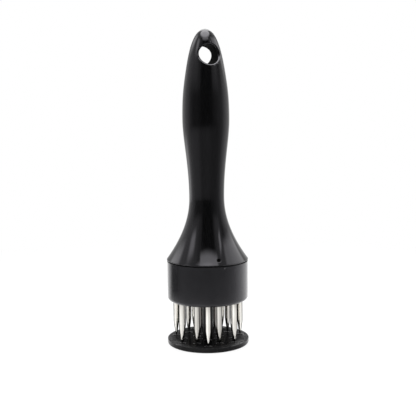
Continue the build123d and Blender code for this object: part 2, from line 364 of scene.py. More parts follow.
def dent_rings(loop, place, center_turn, center_length, radius, depth):
    """Rings of a dimple sunk in a round form, from the window's loop inwards."""
    spots = []  # each with its direction and distance from the dimple's middle
    for vert in loop:
        turn = atan2(vert.co.x, -vert.co.y) - center_turn
        across = hypot(vert.co.x, vert.co.y) * turn
        along = place.length_at(vert.co.z) - center_length
        far = hypot(across, along)
        spots.append((across / far, along / far, far))
    rings = []
    for share in (0.66, 0.36, 0.12):
        rings.append([(x, y, share * far + (1 - share) * radius * 1.25) for x, y, far in spots])
    for reach in (1.12, 1.02, 0.92, 0.8, 0.62, 0.42, 0.22):
        rings.append([(x, y, reach * radius) for x, y, _ in spots])
    rings.append([(0.0, 0.0, 0.0)])

    def sunk(x, y, reach):
        length = center_length + y * reach
        ring_radius, level = place.at(length)
        turn = center_turn + x * reach / ring_radius
        out = place.normal(length)
        normal = Vector((out.x * sin(turn), -out.x * cos(turn), out.y))
        return around(ring_radius, level, turn) - normal * dent_depth(reach, radius, depth)

    return [[sunk(*spot) for spot in ring] for ring in rings]


# ---- stepped walls
def stepped_wall(form, turns, levels, radius_of):
    """A round wall whose cells stand at their own radius, with square steps between them.
    Returns its lower and its upper end, each as its cells' radii by column and a function
    that gives the vertex of a column and a radius."""
    count = len(turns)
    cache = {}

    def vert(column, row, radius):
        key = (column % count, row, round(radius, 4))
        if key not in cache:
            cache[key] = form.verts.new(around(radius, levels[row], turns[column % count]))
        return cache[key]

    def radius_at(column, row):
        a = turns[column % count]
        b = turns[(column + 1) % count]
        return radius_of((a + (b + 2 * pi if b < a else b)) / 2, row)

    def quad(*corners):
        form.faces.new([vert(*corner) for corner in corners])

    rows = len(levels) - 1
    for row in range(rows):
        for column in range(count):
            over, after = row + 1, column + 1
            r = radius_at(column, row)
            quad((column, row, r), (after, row, r), (after, over, r), (column, over, r))
            beside = radius_at(after, row)
            if beside != r:
                quad((after, row, r), (after, row, beside), (after, over, beside), (after, over, r))
            above = radius_at(column, over) if over < rows else r
            if above != r:
                quad((column, over, r), (after, over, r), (after, over, above), (column, over, above))

    def end(level_row, cell_row):
        radii = [radius_at(column, cell_row) for column in range(count)]
        return radii, lambda column, radius: vert(column, level_row, radius)

    return end(0, 0), end(rows, rows - 1)


def flat_to_wall(form, circle, end):
    """A flat ring between a plain loop and one end of a stepped wall."""
    radii, vert = end
    count = len(radii)
    outward = circle[0].co.xy.length > max(radii)
    for column, r in enumerate(radii):
        before, after = radii[column - 1], radii[(column + 1) % count]
        corners = [circle[column], circle[(column + 1) % count]]
        if after != r and (after > r) == outward:
            corners.append(vert(column + 1, after))
        corners += [vert(column + 1, r), vert(column, r)]
        if before != r and (before > r) == outward:
            corners.append(vert(column, before))
        form.faces.new(corners)


# ---- handle
outline = Outline()
cavity = Outline(SHELL_WALL)  # the flare's inner wall


def handle_turns():
    """Columns round the handle, with a close pair each side of the parting lines."""
    turns = even_turns(ROUND_COLUMNS)
    for seam in PARTING_TURNS:
        turns += [seam - PARTING_HALF_WIDTH, seam + PARTING_HALF_WIDTH]
    return sorted(turns)


def handle_rows():
    """Lengths along the outline at which the handle has rings, closer at the flare and the hole."""
    total = outline.length[-1]
    rows = [0.9]
    while rows[-1] < total - 0.9:
        level = outline.at(rows[-1])[1]
        close = abs(level - HOLE_LEVEL) < 14 or level < LIP + 24
        rows.append(rows[-1] + (1.0 if close else 1.7))
    return rows[:-1] + [total - 1.5, total - 0.7]


def lip_profile():
    """The rebate over the collar, and the rounded corner between the underside and the flare."""
    slope = (Vector(FLARE_CURVE[1]) - Vector(FLARE_CURVE[0])).normalized()
    half = (pi - atan2(slope.y, slope.x)) / 2
    center = (FLARE_CURVE[0][0] - LIP_ROUND / tan(half), EDGE + LIP_ROUND)
    flare_turn = degrees(atan2(-slope.x, slope.y))
    return [(REBATE_RADIUS, LIP), (REBATE_RADIUS, EDGE)] + arc(center, LIP_ROUND, -90, flare_turn, 6)


def parting_rise(radius, length, turn):
    """Height of the parting line's ridge, which starts over the lip and runs out at the tip."""
    on_line = min(abs(turn - seam) for seam in PARTING_TURNS) < 1e-4
    return PARTING_HEIGHT * min(1, radius / 4) if on_line and length > 1.0 else 0.0


def mouth_ball(bearing, side):
    """The ball that rolls between the grip and the bore, at a bearing round the hanging hole:
    its centre, and the direction from there to where it touches the grip."""
    reach = HOLE_RADIUS + HOLE_ROUND
    x, z = reach * sin(bearing), HOLE_LEVEL + reach * cos(bearing)
    length = outline.length_at(z)
    for _ in range(12):  # settles where the outline's normal meets the ball's centre
        length = outline.length_at(z + HOLE_ROUND * outline.normal(length).y)
    out = outline.normal(length)
    radius = outline.at(length)[0] - HOLE_ROUND * out.x
    y = sqrt(radius ** 2 - x ** 2)
    normal = Vector((out.x * x / radius, side * out.x * y / radius, out.y))
    return Vector((x, side * y, z)), normal.normalized()


def hole_rings(loop, side):
    """Rings from a window's loop over the rounded mouth into the hanging hole's bore."""
    balls = []
    for vert in loop:
        bearing = atan2(vert.co.x, vert.co.z - HOLE_LEVEL)
        balls.append((*mouth_ball(bearing, side), Vector((-sin(bearing), 0, -cos(bearing)))))
    contact = [ball + normal * HOLE_ROUND for ball, normal, _ in balls]
    rings = []
    for share in (0.75, 0.5, 0.25):
        ring = []
        for vert, touch in zip(loop, contact):
            x = touch.x + (vert.co.x - touch.x) * share
            level = touch.z + (vert.co.z - touch.z) * share
            radius = outline.at(outline.length_at(level))[0]
            ring.append(Vector((x, side * sqrt(radius ** 2 - x ** 2), level)))
        rings.append(ring)
    rings.append(contact)
    for step in range(1, HOLE_STEPS + 1):
        ring = []
        for ball, normal, bore in balls:
            curved, straight = (turned(bore, step / HOLE_STEPS) for turned in (normal.slerp, normal.lerp))
            ring.append(ball + curved.lerp(straight, HOLE_FLATNESS) * HOLE_ROUND)
        rings.append(ring)
    return rings


def pocket_points(steps):
    """The moulded pockets' outer wall, from the lip's level to their top."""
    points = []
    for i in range(steps + 1):
        radius, level = cavity.at(cavity.length_at(LIP + (POCKET_TOP - LIP) * i / steps))
        points.append((min(radius, SKIRT_INNER), level))
    return points


def skirt_wall(form, turns):
    """The spigot's outer wall with its bayonet lugs."""
    levels = [SKIRT_BOTTOM + 0.5, LUG_LEVELS[0], LUG_LEVELS[1], LIP]
    starts = [LUG_START + i * LUG_PITCH for i in range(LUG_COUNT)]
    lugs = [(radians(start), radians(start + LUG_ARC)) for start in starts]

    def radius_of(turn, row):
        raised = row == 1 and any(a < turn % (2 * pi) < b for a, b in lugs)
        return LUG_RADIUS if raised else SKIRT_OUTER

    return stepped_wall(form, turns, levels, radius_of)


def handle_form():
    form = bmesh.new()
    turns = handle_turns()

    def columns_round(middle, reach, way=1):
        """The columns on both sides of a turn, so many each way."""
        wanted = [middle + way * i * 2 * pi / ROUND_COLUMNS for i in range(-reach, reach + 1)]
        return [nearest(turns, turn % (2 * pi)) for turn in wanted]

    # Outer form: lip, flare, grip and head, with windows for the hole and the dimple
    profile = lip_profile()
    lengths = [0.0] * len(profile) + handle_rows()
    profile += [outline.at(length) for length in lengths[len(profile):]]
    grid = []
    for (radius, level), length in zip(profile, lengths):
        spots = [around(radius + parting_rise(radius, length, turn), level, turn) for turn in turns]
        grid.append([form.verts.new(spot) for spot in spots])
    levels = [level for _, level in profile]
    hole_rows = tuple(nearest(levels, HOLE_LEVEL + reach) for reach in HOLE_WINDOW)
    dot_rows = tuple(nearest(lengths, DOT_REACH + reach) for reach in DOT_WINDOW)
    front = columns_round(0, HOLE_WINDOW_COLUMNS)
    back = columns_round(pi, HOLE_WINDOW_COLUMNS, way=-1)
    dot = columns_round(0, DOT_WINDOW_COLUMNS)
    quads_round_windows(form, grid, [(hole_rows, front), (hole_rows, back), (dot_rows, dot)])
    cap_fan(form, grid[-1], (0, 0, TIP))

    mouths = []
    for side, columns in ((-1, front), (1, back)):
        loop = rim_of_window(grid, hole_rows, columns)
        mouths.append(rings_into(form, loop, hole_rings(loop, side)))
    near, far = mouths
    bore = [[a.co.lerp(b.co, step / 8) for a, b in zip(near, far)] for step in range(1, 8)]
    bridge(form, rings_into(form, near, bore, material=1), far, material=1)

    loop = rim_of_window(grid, dot_rows, dot)
    rings = dent_rings(loop, outline, 0.0, DOT_REACH, DOT_RADIUS, DOT_DEPTH)
    rim = rings_into(form, loop, rings[:DOT_RIM_RINGS])
    cap_fan(form, rings_into(form, rim, rings[DOT_RIM_RINGS:-1], material=1), rings[-1][0], material=1)

    # Underside: seam face, spigot with lugs, pocket, spring tube and tunnel
    (_, foot_vert), top = skirt_wall(form, turns)
    flat_to_wall(form, grid[0], top)
    foot = [foot_vert(column, SKIRT_OUTER) for column in range(len(turns))]
    bottom, tube, tunnel = SKIRT_BOTTOM, TUBE_RADIUS, TUNNEL_RADIUS
    profile = [(SKIRT_OUTER - 0.4, bottom), (SKIRT_INNER + 0.3, bottom), (SKIRT_INNER, bottom + 0.3)]
    profile += pocket_points(14)
    profile += [(tube, POCKET_TOP), (tube, bottom + 0.2), (tube - 0.2, bottom)]
    profile += [(tunnel + 0.2, bottom), (tunnel, bottom + 0.2), (tunnel, TUNNEL_TOP)]
    rings = lathe(form, profile, turns, first=foot)
    cap_fan(form, rings[-1], (0, 0, TUNNEL_TOP))
    return form


def rib_form():
    """Plates between the spring tube and the spigot's wall."""
    form = bmesh.new()
    wall, tube, bottom = SKIRT_INNER + RIB_SINK, TUBE_RADIUS - RIB_SINK, SKIRT_BOTTOM + 0.35
    side = [(wall, bottom), (wall, LIP)]
    side += [(radius + RIB_SINK, level) for radius, level in pocket_points(12)[1:]]
    side[-1] = (side[-1][0], side[-1][1] + RIB_SINK)
    side += [(tube, POCKET_TOP + RIB_SINK), (tube, bottom)]
    for index in range(RIB_COUNT):
        spin = Matrix.Rotation(radians(360 / RIB_COUNT * index), 4, "Z")
        loops = []
        for half in (-RIB_THICKNESS / 2, RIB_THICKNESS / 2):
            loops.append([form.verts.new(spin @ Vector((r, half, z))) for r, z in side])
        closed_loft(form, loops)
    return form


# ---- collar and guard
def blade_places():
    """Each blade's node name and its centre."""
    for ring, radius, phase in RINGS:
        for index in range(BLADES_PER_RING):
            turn = HEAD_TURN + phase + index * 2 * pi / BLADES_PER_RING
            yield f"{ring}_blade_{index + 1}", around(radius, 0, turn)


def at_blade(center, x, y, level):
    """A point by its place across and through a blade, in the blades' common direction."""
    return center + HEAD_SPIN @ Vector((x, y, 0)) + Vector((0, 0, level))


def slot_loop(form, center, level, grow):
    """A rounded rectangle round a blade."""
    half_x, half_y, corner = SLOT_HALF_WIDTH + grow, SLOT_HALF_DEPTH + grow, SLOT_CORNER + grow
    loop = []
    for quarter, (sx, sy) in enumerate(((1, 1), (-1, 1), (-1, -1), (1, -1))):
        for step in range(4):
            turn = radians(90 * quarter + 30 * step)
            x = sx * (half_x - corner) + corner * cos(turn)
            y = sy * (half_y - corner) + corner * sin(turn)
            loop.append(form.verts.new(at_blade(center, x, y, level)))
    return loop


def mouth_rows(face, inward, softness):
    """Levels of a slot's loops from its face inwards, and how much wider than the slot each is."""
    if not softness:
        return [(face, 0)]
    turns = [radians(90 * step / MOUTH_STEPS) for step in range(MOUTH_STEPS + 1)]
    return [(face + inward * softness * (1 - cos(a)), softness * (1 - sin(a))) for a in turns]


def slot_wall(form, center, bottom, top, low_round, high_round, upper_mouth=0):
    """A slot's wall, its upper mouth in this material. Returns its loops in the plate's faces."""
    rows = mouth_rows(bottom, 1, low_round) + [((bottom + top) / 2, 0)]
    rows += reversed(mouth_rows(top, -1, high_round))
    loops = [slot_loop(form, center, level, grow) for level, grow in rows]
    plain = len(rows) - 1 - MOUTH_STEPS
    for index, (lower, upper) in enumerate(zip(loops, loops[1:])):
        bridge(form, lower, upper, upper_mouth if index >= plain else 0)
    return loops[0], loops[-1]


def slotted_plate(form, edges, bore, *wall, **look):
    """A plate's lower and upper face, round its bore and the walls of the blades' slots."""
    holes = [bore] + [slot_wall(form, center, *wall, **look) for _, center in blade_places()]
    for edge, loops in zip(edges, zip(*holes)):
        fill(form, edge, list(loops))


def disc_form():
    form = bmesh.new()
    foot, top = DISC_FOOT_ROUND, DISC_TOP_ROUND
    profile = arc((DISC_RADIUS - foot, foot), foot, -90, 0, 8)
    profile += arc((DISC_RADIUS - top, DISC_TOP - top), top, 0, 90, 6)
    rim = lathe(form, profile, even_turns(ROUND_COLUMNS))
    seat = lathe(form, SEAT_PROFILE, even_turns(BORE_COLUMNS))
    edges, bore, mouth = (rim[0], rim[-1]), (seat[-1], seat[0]), DISC_MOUTH_ROUND
    slotted_plate(form, edges, bore, 0, DISC_TOP, mouth, mouth, upper_mouth=1)
    return form


def collar_turns():
    """Columns that fall on the ends of the bayonet grooves."""
    arcs = ((0, ENTRY_ARC, 8), (ENTRY_ARC, LOCK_TWIST, 10), (GROOVE_ARC, LUG_PITCH - GROOVE_ARC, 22))
    turns = []
    for groove in range(LUG_COUNT):
        start = GROOVE_START + LUG_PITCH * groove
        for offset, length, parts in arcs:
            turns += [radians(start + offset + length * i / parts) % (2 * pi) for i in range(parts)]
    return sorted(turns)


def groove_wall(form, turns):
    """The collar's bore with the grooves that the lugs enter and turn in."""
    levels = [COLLAR_FLOOR_TOP, GROOVE_BOTTOM, GROOVE_TOP, COLLAR_TOP]

    def radius_of(turn, row):
        place = (degrees(turn) - GROOVE_START) % LUG_PITCH
        deep = (row == 1 and place < GROOVE_ARC) or (row == 2 and place < ENTRY_ARC)
        return GROOVE_RADIUS if deep else COLLAR_BORE

    return stepped_wall(form, turns, levels, radius_of)


def collar_form():
    form = bmesh.new()
    turns = collar_turns()
    count = len(turns)
    foot, rim = COLLAR_FOOT_ROUND, COLLAR_RIM_ROUND
    profile = arc((COLLAR_RADIUS - foot, COLLAR_BOTTOM + foot), foot, -90, 0, 10)
    profile += [(COLLAR_RADIUS, level) for level in COLLAR_ROWS]
    profile += arc((COLLAR_RADIUS - rim, COLLAR_TOP - rim), rim, 0, 90, 5)
    grid = [ring_of(form, radius, level, turns) for radius, level in profile]

    levels = [level for _, level in profile]
    rows = tuple(nearest(levels, level) for level in MARK_WINDOW)
    middle = nearest(turns, MARK_TURN)
    first = middle - 1 if turns[middle] < MARK_TURN else middle - 2
    columns = [column % count for column in range(first, first + 4)]
    quads_round_windows(form, grid, [(rows, columns)])
    loop = rim_of_window(grid, rows, columns)
    rings = dent_rings(loop, Straight(), MARK_TURN, MARK_LEVEL, MARK_RADIUS, MARK_DEPTH)
    cap_fan(form, rings_into(form, loop, rings[:-1]), rings[-1][0])

    (_, floor_vert), top = groove_wall(form, turns)
    flat_to_wall(form, grid[-1], top)
    floor = [floor_vert(column, COLLAR_BORE) for column in range(count)]
    post_hole = [(COLLAR_POST_HOLE, COLLAR_BOTTOM), (COLLAR_POST_HOLE, COLLAR_FLOOR_TOP)]
    post = lathe(form, post_hole, even_turns(BORE_COLUMNS))
    edges, mouth = (grid[0], floor), COLLAR_MOUTH_ROUND
    slotted_plate(form, edges, post, COLLAR_BOTTOM, COLLAR_FLOOR_TOP, mouth, 0)
    return form


# ---- blades
def blade_section(level):
    """Half of the outline of a blade's section at a level, from one edge over the ridge."""
    above = level - BLADE_TIP
    width, limit = read_off(POINT_WIDTHS, above), read_off(POINT_DEPTHS, above)
    fall = (BLADE_HALF_RIDGE - BLADE_HALF_EDGE) / BLADE_HALF_WIDTH
    bevel = min(BLADE_BEVEL, width * 0.4)
    edge = min(limit * 0.97, BLADE_HALF_RIDGE - fall * width)
    ridge = max(min(limit, BLADE_HALF_RIDGE - 0.015), edge)
    ridge_x = min(max((BLADE_HALF_RIDGE - limit) / fall, 0.09), width * 0.55)
    ridge_x = min(ridge_x, width - bevel - 0.02)
    quarter = [(width, edge * 0.3), (width - bevel, edge), (ridge_x, ridge)]
    return quarter + [(-x, y) for x, y in reversed(quarter)]


def blade_form(center, painted_shade):
    form = bmesh.new()
    inset = form.verts.layers.float.new("inset")
    # each vertex's share of painted shade, which the blade material reads
    dull = form.verts.layers.float.new("dull")
    levels = [BLADE_TIP + rise for rise in POINT_ROWS] + [*SHANK_ROWS, BLADE_ROOT]
    loops = []
    for level in levels:
        points = blade_section(level)
        points += [(-x, -y) for x, y in points]
        loop = [form.verts.new(at_blade(center, x, y, level)) for x, y in points]
        for vert, (x, _) in zip(loop, points):
            vert[inset] = points[0][0] - abs(x)
            vert[dull] = painted_shade
        loops.append(loop)
    closed_loft(form, loops)
    return form


# ---- spring
def spring_form():
    """Round wire coil with close end turns."""
    form = bmesh.new()
    bottom = SPRING_BOTTOM + WIRE_RADIUS + SPRING_GAP
    top = TUNNEL_TOP - WIRE_RADIUS - SPRING_GAP
    rise = 2 * (WIRE_RADIUS + SPRING_GAP)
    climb = ((0, bottom), (1, bottom + rise), (SPRING_TURNS - 1, top - rise), (SPRING_TURNS, top))
    loops = []
    for step in range(SPRING_TURNS * SPRING_STEPS + 1):
        height = read_off(climb, step / SPRING_STEPS)
        turn = 2 * pi * step / SPRING_STEPS
        section = arc((SPRING_RADIUS, height), WIRE_RADIUS, 0, 360, WIRE_SIDES)[:-1]
        loops.append([form.verts.new(around(*spot, turn)) for spot in section])
    closed_loft(form, loops)
    return form


# ---- materials
class Wires:
    """Short ways to build a node tree."""

    def __init__(self, tree):
        self.nodes, self.links = tree.nodes, tree.links

    def put(self, node, inputs):
        """Links a node's inputs to other sockets, or sets their numbers, vectors and colours."""
        for key, value in inputs.items():
            socket = node.inputs[key]
            if isinstance(value, bpy.types.NodeSocket):
                self.links.new(value, socket)
            elif value is not None:
                socket.default_value = (*value, 1) if socket.type == "RGBA" else value

    def add(self, kind, inputs, **settings):
        node = self.nodes.new(kind)
        for name, value in settings.items():
            setattr(node, name, value)
        self.put(node, inputs)
        return node

    def math(self, operation, *values, clamp=False):
        inputs = dict(enumerate(values))
        return self.add("ShaderNodeMath", inputs, operation=operation, use_clamp=clamp).outputs[0]

    def product(self, first, *others):
        for other in others:
            first = self.math("MULTIPLY", first, other)
        return first

    def vector(self, operation, *values):
        node = self.add("ShaderNodeVectorMath", dict(enumerate(values)), operation=operation)
        return node.outputs["Value"] if operation in ("DOT_PRODUCT", "LENGTH") else node.outputs[0]

    def place(self):
        """Where a point is on the object, in metres."""
        return self.nodes.new("ShaderNodeTexCoord").outputs["Object"]

    def attribute(self, name):
        """A number that the mesh carries on its vertices."""
        return self.add("ShaderNodeAttribute", {}, attribute_name=name).outputs["Fac"]

    def axis(self, vector, name):
        return self.add("ShaderNodeSeparateXYZ", {0: vector}).outputs[name]

    def noise(self, per_metre, detail=2.0, roughness=0.5, offset=(0, 0, 0)):
        """Noise with so many features per metre, the same all ways or along X, Y and Z."""
        stretch = per_metre if isinstance(per_metre, tuple) else (per_metre,) * 3
        moved = self.vector("MULTIPLY_ADD", self.place(), stretch, offset)
        inputs = {"Vector": moved, "Scale": 1.0, "Detail": detail, "Roughness": roughness}
        return self.add("ShaderNodeTexNoise", inputs).outputs["Fac"]

    def span(self, value, low, high, to_low=0.0, to_high=1.0):
        """A smooth step from one level to another, while the value goes from low to high."""
        inputs = {"Value": value, "From Min": low, "From Max": high, "To Min": to_low, "To Max": to_high}
        return self.add("ShaderNodeMapRange", inputs, interpolation_type="SMOOTHSTEP").outputs[0]

    def blend(self, share, first, second):
        """The first colour where the share is 0, the second where it is 1."""
        return self.add("ShaderNodeMix", {0: share, 6: first, 7: second}, data_type="RGBA").outputs[2]

    def ramp(self, turn, tones):
        """The tone from a table of azimuths in degrees, at a turn from 0 to 1 that starts at -180."""
        node = self.add("ShaderNodeValToRGB", {"Fac": turn})
        while len(node.color_ramp.elements) < len(tones):
            node.color_ramp.elements.new(0.5)
        for element, (azimuth, level) in zip(node.color_ramp.elements, tones):
            element.position = (azimuth + 180) / 360
            element.color = (level, level, level, 1)
        return node.outputs["Color"]

    def bump(self, height, strength, distance, under=None):
        inputs = {"Height": height, "Strength": strength, "Distance": distance, "Normal": under}
        return self.add("ShaderNodeBump", inputs).outputs[0]

    def shader(self, kind, color):
        return self.add(kind, {"Color": color}).outputs[0]

    def either(self, share, first, second):
        """The first shader where the share is 0, the second where it is 1."""
        return self.add("ShaderNodeMixShader", {0: share, 1: first, 2: second}).outputs[0]


class Look(Wires):
    """The node tree of a new material."""

    def __init__(self, name):
        self.material = bpy.data.materials.new(name)
        self.material.use_nodes = True
        super().__init__(self.material.node_tree)

    def finish(self, inputs):
        self.put(self.nodes["Principled BSDF"], inputs)
        return self.material


COOL_SHEEN = (0.95, 0.93, 1.0)


def gloss_handle():
    """Polished black ABS: a faint waviness, fine hairlines and dull handling smears."""
    w = Look("gloss_black_abs")
    smear = w.noise((55, 55, 22), 4.0, 0.55)
    hair = w.noise((1500, 1500, 60), 2.0, 0.6, (3, 1, 7))
    wave = w.noise((170, 170, 120), 1.0, 0.4)
    peel = w.noise(900)
    dark, rough = w.span(smear, 0.4, 0.8), w.span(smear, 0.35, 0.75, 0.05, 0.095)
    return w.finish({
        "Base Color": w.blend(dark, (0.0022, 0.0022, 0.0024), (0.0034, 0.0034, 0.0036)),
        "Roughness": w.math("ADD", rough, w.span(hair, 0.6, 0.8, 0.0, 0.04)),
        "Normal": w.bump(peel, 0.03, 0.00004, w.bump(wave, 0.06, 0.0004)),
        "IOR": 1.5,
        "Specular Tint": COOL_SHEEN,
    })


def moulded_bore():
    """The hanging hole's wall, left dull as the core pin made it, with fine draw lines along it."""
    w = Look("moulded_black_bore")
    drawn = w.noise((2600, 120, 2600), 3.0, 0.6)
    return w.finish({
        "Base Color": w.blend(drawn, (0.001, 0.001, 0.001), (0.002, 0.002, 0.002)),
        "Roughness": w.span(drawn, 0.3, 0.7, 0.5, 0.65),
        "Normal": w.bump(drawn, 0.15, 0.00003),
        "IOR": 1.05,
    })


def satin_collar():
    """Satin moulded ABS with a fine even grain, with painted shade: near black at the top of its rim, in
    the seam under the handle.
    """
    w = Look("satin_black_abs")
    level = w.axis(w.place(), "Z")
    grain = w.noise(5200, 2.0, 0.6)
    cloud = w.noise((70, 70, 40), 3.0, 0.5)
    base = w.blend(w.span(cloud, 0.3, 0.7), (0.0125, 0.0125, 0.0138), (0.0155, 0.0155, 0.017))
    # painted shade: the rim's top is painted near black, as the shade in the seam under the handle's lip
    seam = w.span(level, (COLLAR_TOP - 0.25) * MM, (COLLAR_TOP - 0.1) * MM)
    return w.finish({
        "Base Color": w.blend(seam, base, (0.002, 0.002, 0.002)),
        "Roughness": w.span(cloud, 0.3, 0.7, 0.13, 0.18),
        "Normal": w.bump(grain, 0.12, 0.00004),
        "IOR": 1.42,
        "Specular Tint": COOL_SHEEN,
    })


def gloss_guard():
    """Semi-gloss moulded plastic, scuffed on the face that it stands on. Round its margin it is painted
    pale in patches, partly as rubbed wear and partly as a painted reflection of the bright studio.
    """
    w = Look("guard_black_pp")
    place = w.place()
    level = w.axis(place, "Z")
    scuff = w.noise(260, 5.0, 0.7)
    cloud = w.noise(90, 3.0, 0.5)
    speck = w.noise(700, 4.0, 0.7, (5, 2, 1))
    patch = w.noise(110, 1.0, 0.5, (2, 7, 3))
    peel = w.noise(1400)
    worn = w.product(w.span(level, 0.0, 1.2 * MM, 1.0, 0.0), w.span(scuff, 0.42, 0.62))
    # The margin is painted pale in patches, most at the ends of the line that the blades lie along:
    # partly rubbed wear, partly a painted reflection of the bright studio
    from_axis = w.vector("LENGTH", w.vector("MULTIPLY", place, (1, 1, 0)))
    ends = w.math("ABSOLUTE", w.vector("DOT_PRODUCT", place, (cos(HEAD_TURN), sin(HEAD_TURN), 0)))
    # partly wear, partly painted reflection: pale patches on the margin's top face
    margin = w.product(
        w.span(from_axis, 18 * MM, 24 * MM),
        w.span(speck, 0.35, 0.65, 0.25, 1.0),
        w.span(patch, 0.38, 0.6, 0.5, 1.0),
        w.span(ends, 9 * MM, 20 * MM, 0.1, 1.0),
        w.span(level, (DISC_TOP - 0.12) * MM, (DISC_TOP - 0.02) * MM),
    )
    base = w.blend(margin, (0.003, 0.003, 0.0034), (0.15, 0.15, 0.153))
    return w.finish({
        "Base Color": w.blend(worn, base, (0.03, 0.03, 0.031)),
        "Roughness": w.math("ADD", w.span(cloud, 0.3, 0.7, 0.15, 0.22), w.product(worn, 0.3)),
        "Normal": w.bump(peel, 0.05, 0.00005),
        "IOR": 1.27,
    })


def painted_rim_highlight():
    """The mouths of the guard's slots, pale in patches and dull: a painted highlight on their rims."""
    w = Look("guard_rim_highlight_pp")
    rim_patches = w.noise(1100, 3.0, 0.6, (4, 4, 2))
    # painted highlight: the rims' colour is a pale grey in patches
    return w.finish({
        "Base Color": w.blend(w.span(rim_patches, 0.35, 0.65), (0.03, 0.03, 0.031), (0.2, 0.2, 0.2)),
        "Roughness": w.span(rim_patches, 0.3, 0.7, 0.3, 0.5),
        "Normal": w.bump(rim_patches, 0.2, 0.00004),
        "IOR": 1.45,
    })


def ground_steel():
    """Polished stainless strip with rolling lines and a ground point, with painted shade: near black
    along its ground bevels, and darker on the blades of the inner rings.
    """
    w = Look("blade_stainless")
    level = w.axis(w.place(), "Z")
    rolled = w.noise((5200, 5200, 110), 3.0, 0.6)
    ground = w.noise((900, 900, 9000), 2.0, 0.6)
    cloud = w.noise((240, 240, 90), 3.0, 0.5)
    point = w.span(level, (BLADE_TIP + 2.8) * MM, (BLADE_TIP + 3.4) * MM, 1.0, 0.0)
    steel = w.blend(w.span(cloud, 0.35, 0.7), (0.77, 0.755, 0.715), (0.65, 0.63, 0.59))
    # painted shade: the blades of the inner rings get a darker steel colour
    steel = w.blend(w.attribute("dull"), steel, (0.2, 0.19, 0.18))
    # painted dark reflection: the ground bevels along the edges are painted near black
    edge = w.span(w.attribute("inset"), BLADE_BEVEL * 0.75, BLADE_BEVEL, 1.0, 0.0)
    along = w.product(rolled, w.math("SUBTRACT", 1.0, point))
    lines = w.math("ADD", along, w.product(ground, point))
    return w.finish({
        "Base Color": w.blend(edge, steel, (0.022, 0.021, 0.02)),
        "Roughness": w.math("ADD", w.span(rolled, 0.3, 0.7, 0.08, 0.16), w.product(point, 0.1)),
        "Normal": w.bump(lines, 0.12, 0.00002),
        "Metallic": 1.0,
    })


def plain_polymer(name, dark, light, rough, grain, index=1.5):
    """Matt or smooth black plastic between two greys."""
    w = Look(name)
    cloud = w.noise(120, 3.0, 0.5)
    return w.finish({
        "Base Color": w.blend(w.span(cloud, 0.3, 0.7), (dark,) * 3, (light,) * 3),
        "Roughness": w.span(cloud, 0.3, 0.7, rough - 0.04, rough + 0.05),
        "Normal": w.bump(w.noise(grain), 0.1, 0.00004),
        "IOR": index,
    })


def turned_steel(name, color, rough, stretch):
    """Plain stainless with fine drawing or turning lines."""
    w = Look(name)
    lines = w.noise(stretch, 3.0, 0.6)
    cloud = w.noise(300, 3.0, 0.5)
    return w.finish({
        "Base Color": w.blend(w.span(cloud, 0.35, 0.7), color, [0.82 * c for c in color]),
        "Roughness": w.span(lines, 0.3, 0.7, rough - 0.06, rough + 0.08),
        "Normal": w.bump(lines, 0.15, 0.00002),
        "Metallic": 1.0,
    })


# ---- view and lights
def level_way(azimuth):
    """The level direction from the tool towards a stand at this azimuth from the camera's."""
    turn = VIEW_AZIMUTH + azimuth
    return Vector((sin(turn), -cos(turn), 0))


def add_camera():
    data = bpy.data.cameras.new("camera")
    data.sensor_fit = "HORIZONTAL"
    data.angle = VIEW_FIELD
    data.clip_start = 0.01
    camera = add_object("camera", data)
    ahead = -level_way(VIEW_YAW)
    right = level_way(VIEW_YAW + pi / 2)
    look = ahead * cos(VIEW_PITCH) - Vector((0, 0, sin(VIEW_PITCH)))
    up = right.cross(look)
    rolled_right = right * cos(VIEW_ROLL) + up * sin(VIEW_ROLL)
    rolled_up = up * cos(VIEW_ROLL) - right * sin(VIEW_ROLL)
    stand = Matrix((rolled_right, rolled_up, -look)).transposed().to_4x4()
    stand.translation = level_way(0) * VIEW_DISTANCE + Vector((0, 0, VIEW_HEIGHT))
    camera.matrix_world = stand
    bpy.context.scene.camera = camera


# The studio, by azimuth in degrees from the camera: radiance level with the tool and above it
LEVEL_TONES = (
    (-180, 0.5), (-165, 0.6), (-150, 0.5), (-138, 0.7), (-128, 0.68), (-115, 0.62), (-100, 0.55),
    (-88, 0.4), (-80, 0.24), (-62, 0.12), (-45, 0.11), (-28, 0.07), (-20, 0.03), (25, 0.03),
    (32, 0.07), (42, 0.11), (60, 0.2), (75, 0.26), (88, 0.35), (100, 0.6), (115, 0.75), (140, 0.65),
    (160, 0.75), (180, 0.6),
)
RAISED_TONES = (
    (-180, 0.7), (-150, 0.5), (-135, 0.7), (-100, 0.6), (-88, 0.6), (-60, 0.5), (-48, 0.42),
    (-40, 0.28), (-31, 0.24), (-27, 0.1), (-22, 0.03), (29, 0.03), (34, 0.1), (38, 0.25), (46, 0.4),
    (56, 0.5), (68, 0.5), (78, 0.22), (88, 0.22), (100, 0.5), (130, 0.6), (150, 0.6), (180, 0.7),
)
RAISED_FROM = (8, 22)  # the elevations between which the second table takes over
# What the table shows in reflections only, as painted tones of the studio, far from the tool and a hand's
# breadth away from it
FAR_TABLE = (
    (-180, 0.6), (-150, 0.6), (-138, 1.15), (-126, 1.55), (-112, 0.85), (-98, 0.6), (-84, 0.5),
    (-66, 0.46), (-45, 0.42), (-26, 0.24), (0, 0.26), (16, 0.26), (32, 0.2), (62, 0.2), (74, 0.26),
    (86, 0.36), (98, 0.6), (115, 0.75), (140, 0.7), (160, 0.9), (180, 0.7),
)
NEAR_TABLE = (
    (-180, 1.2), (-150, 1.8), (-127, 1.3), (-113, 0.05), (-90, 0.04), (-70, 0.3), (-50, 0.26),
    (-30, 0.2), (0, 0.16), (33, 0.2), (50, 0.26), (70, 0.6), (91, 1.35), (118, 1.9), (160, 1.5),
    (180, 1.2),
)
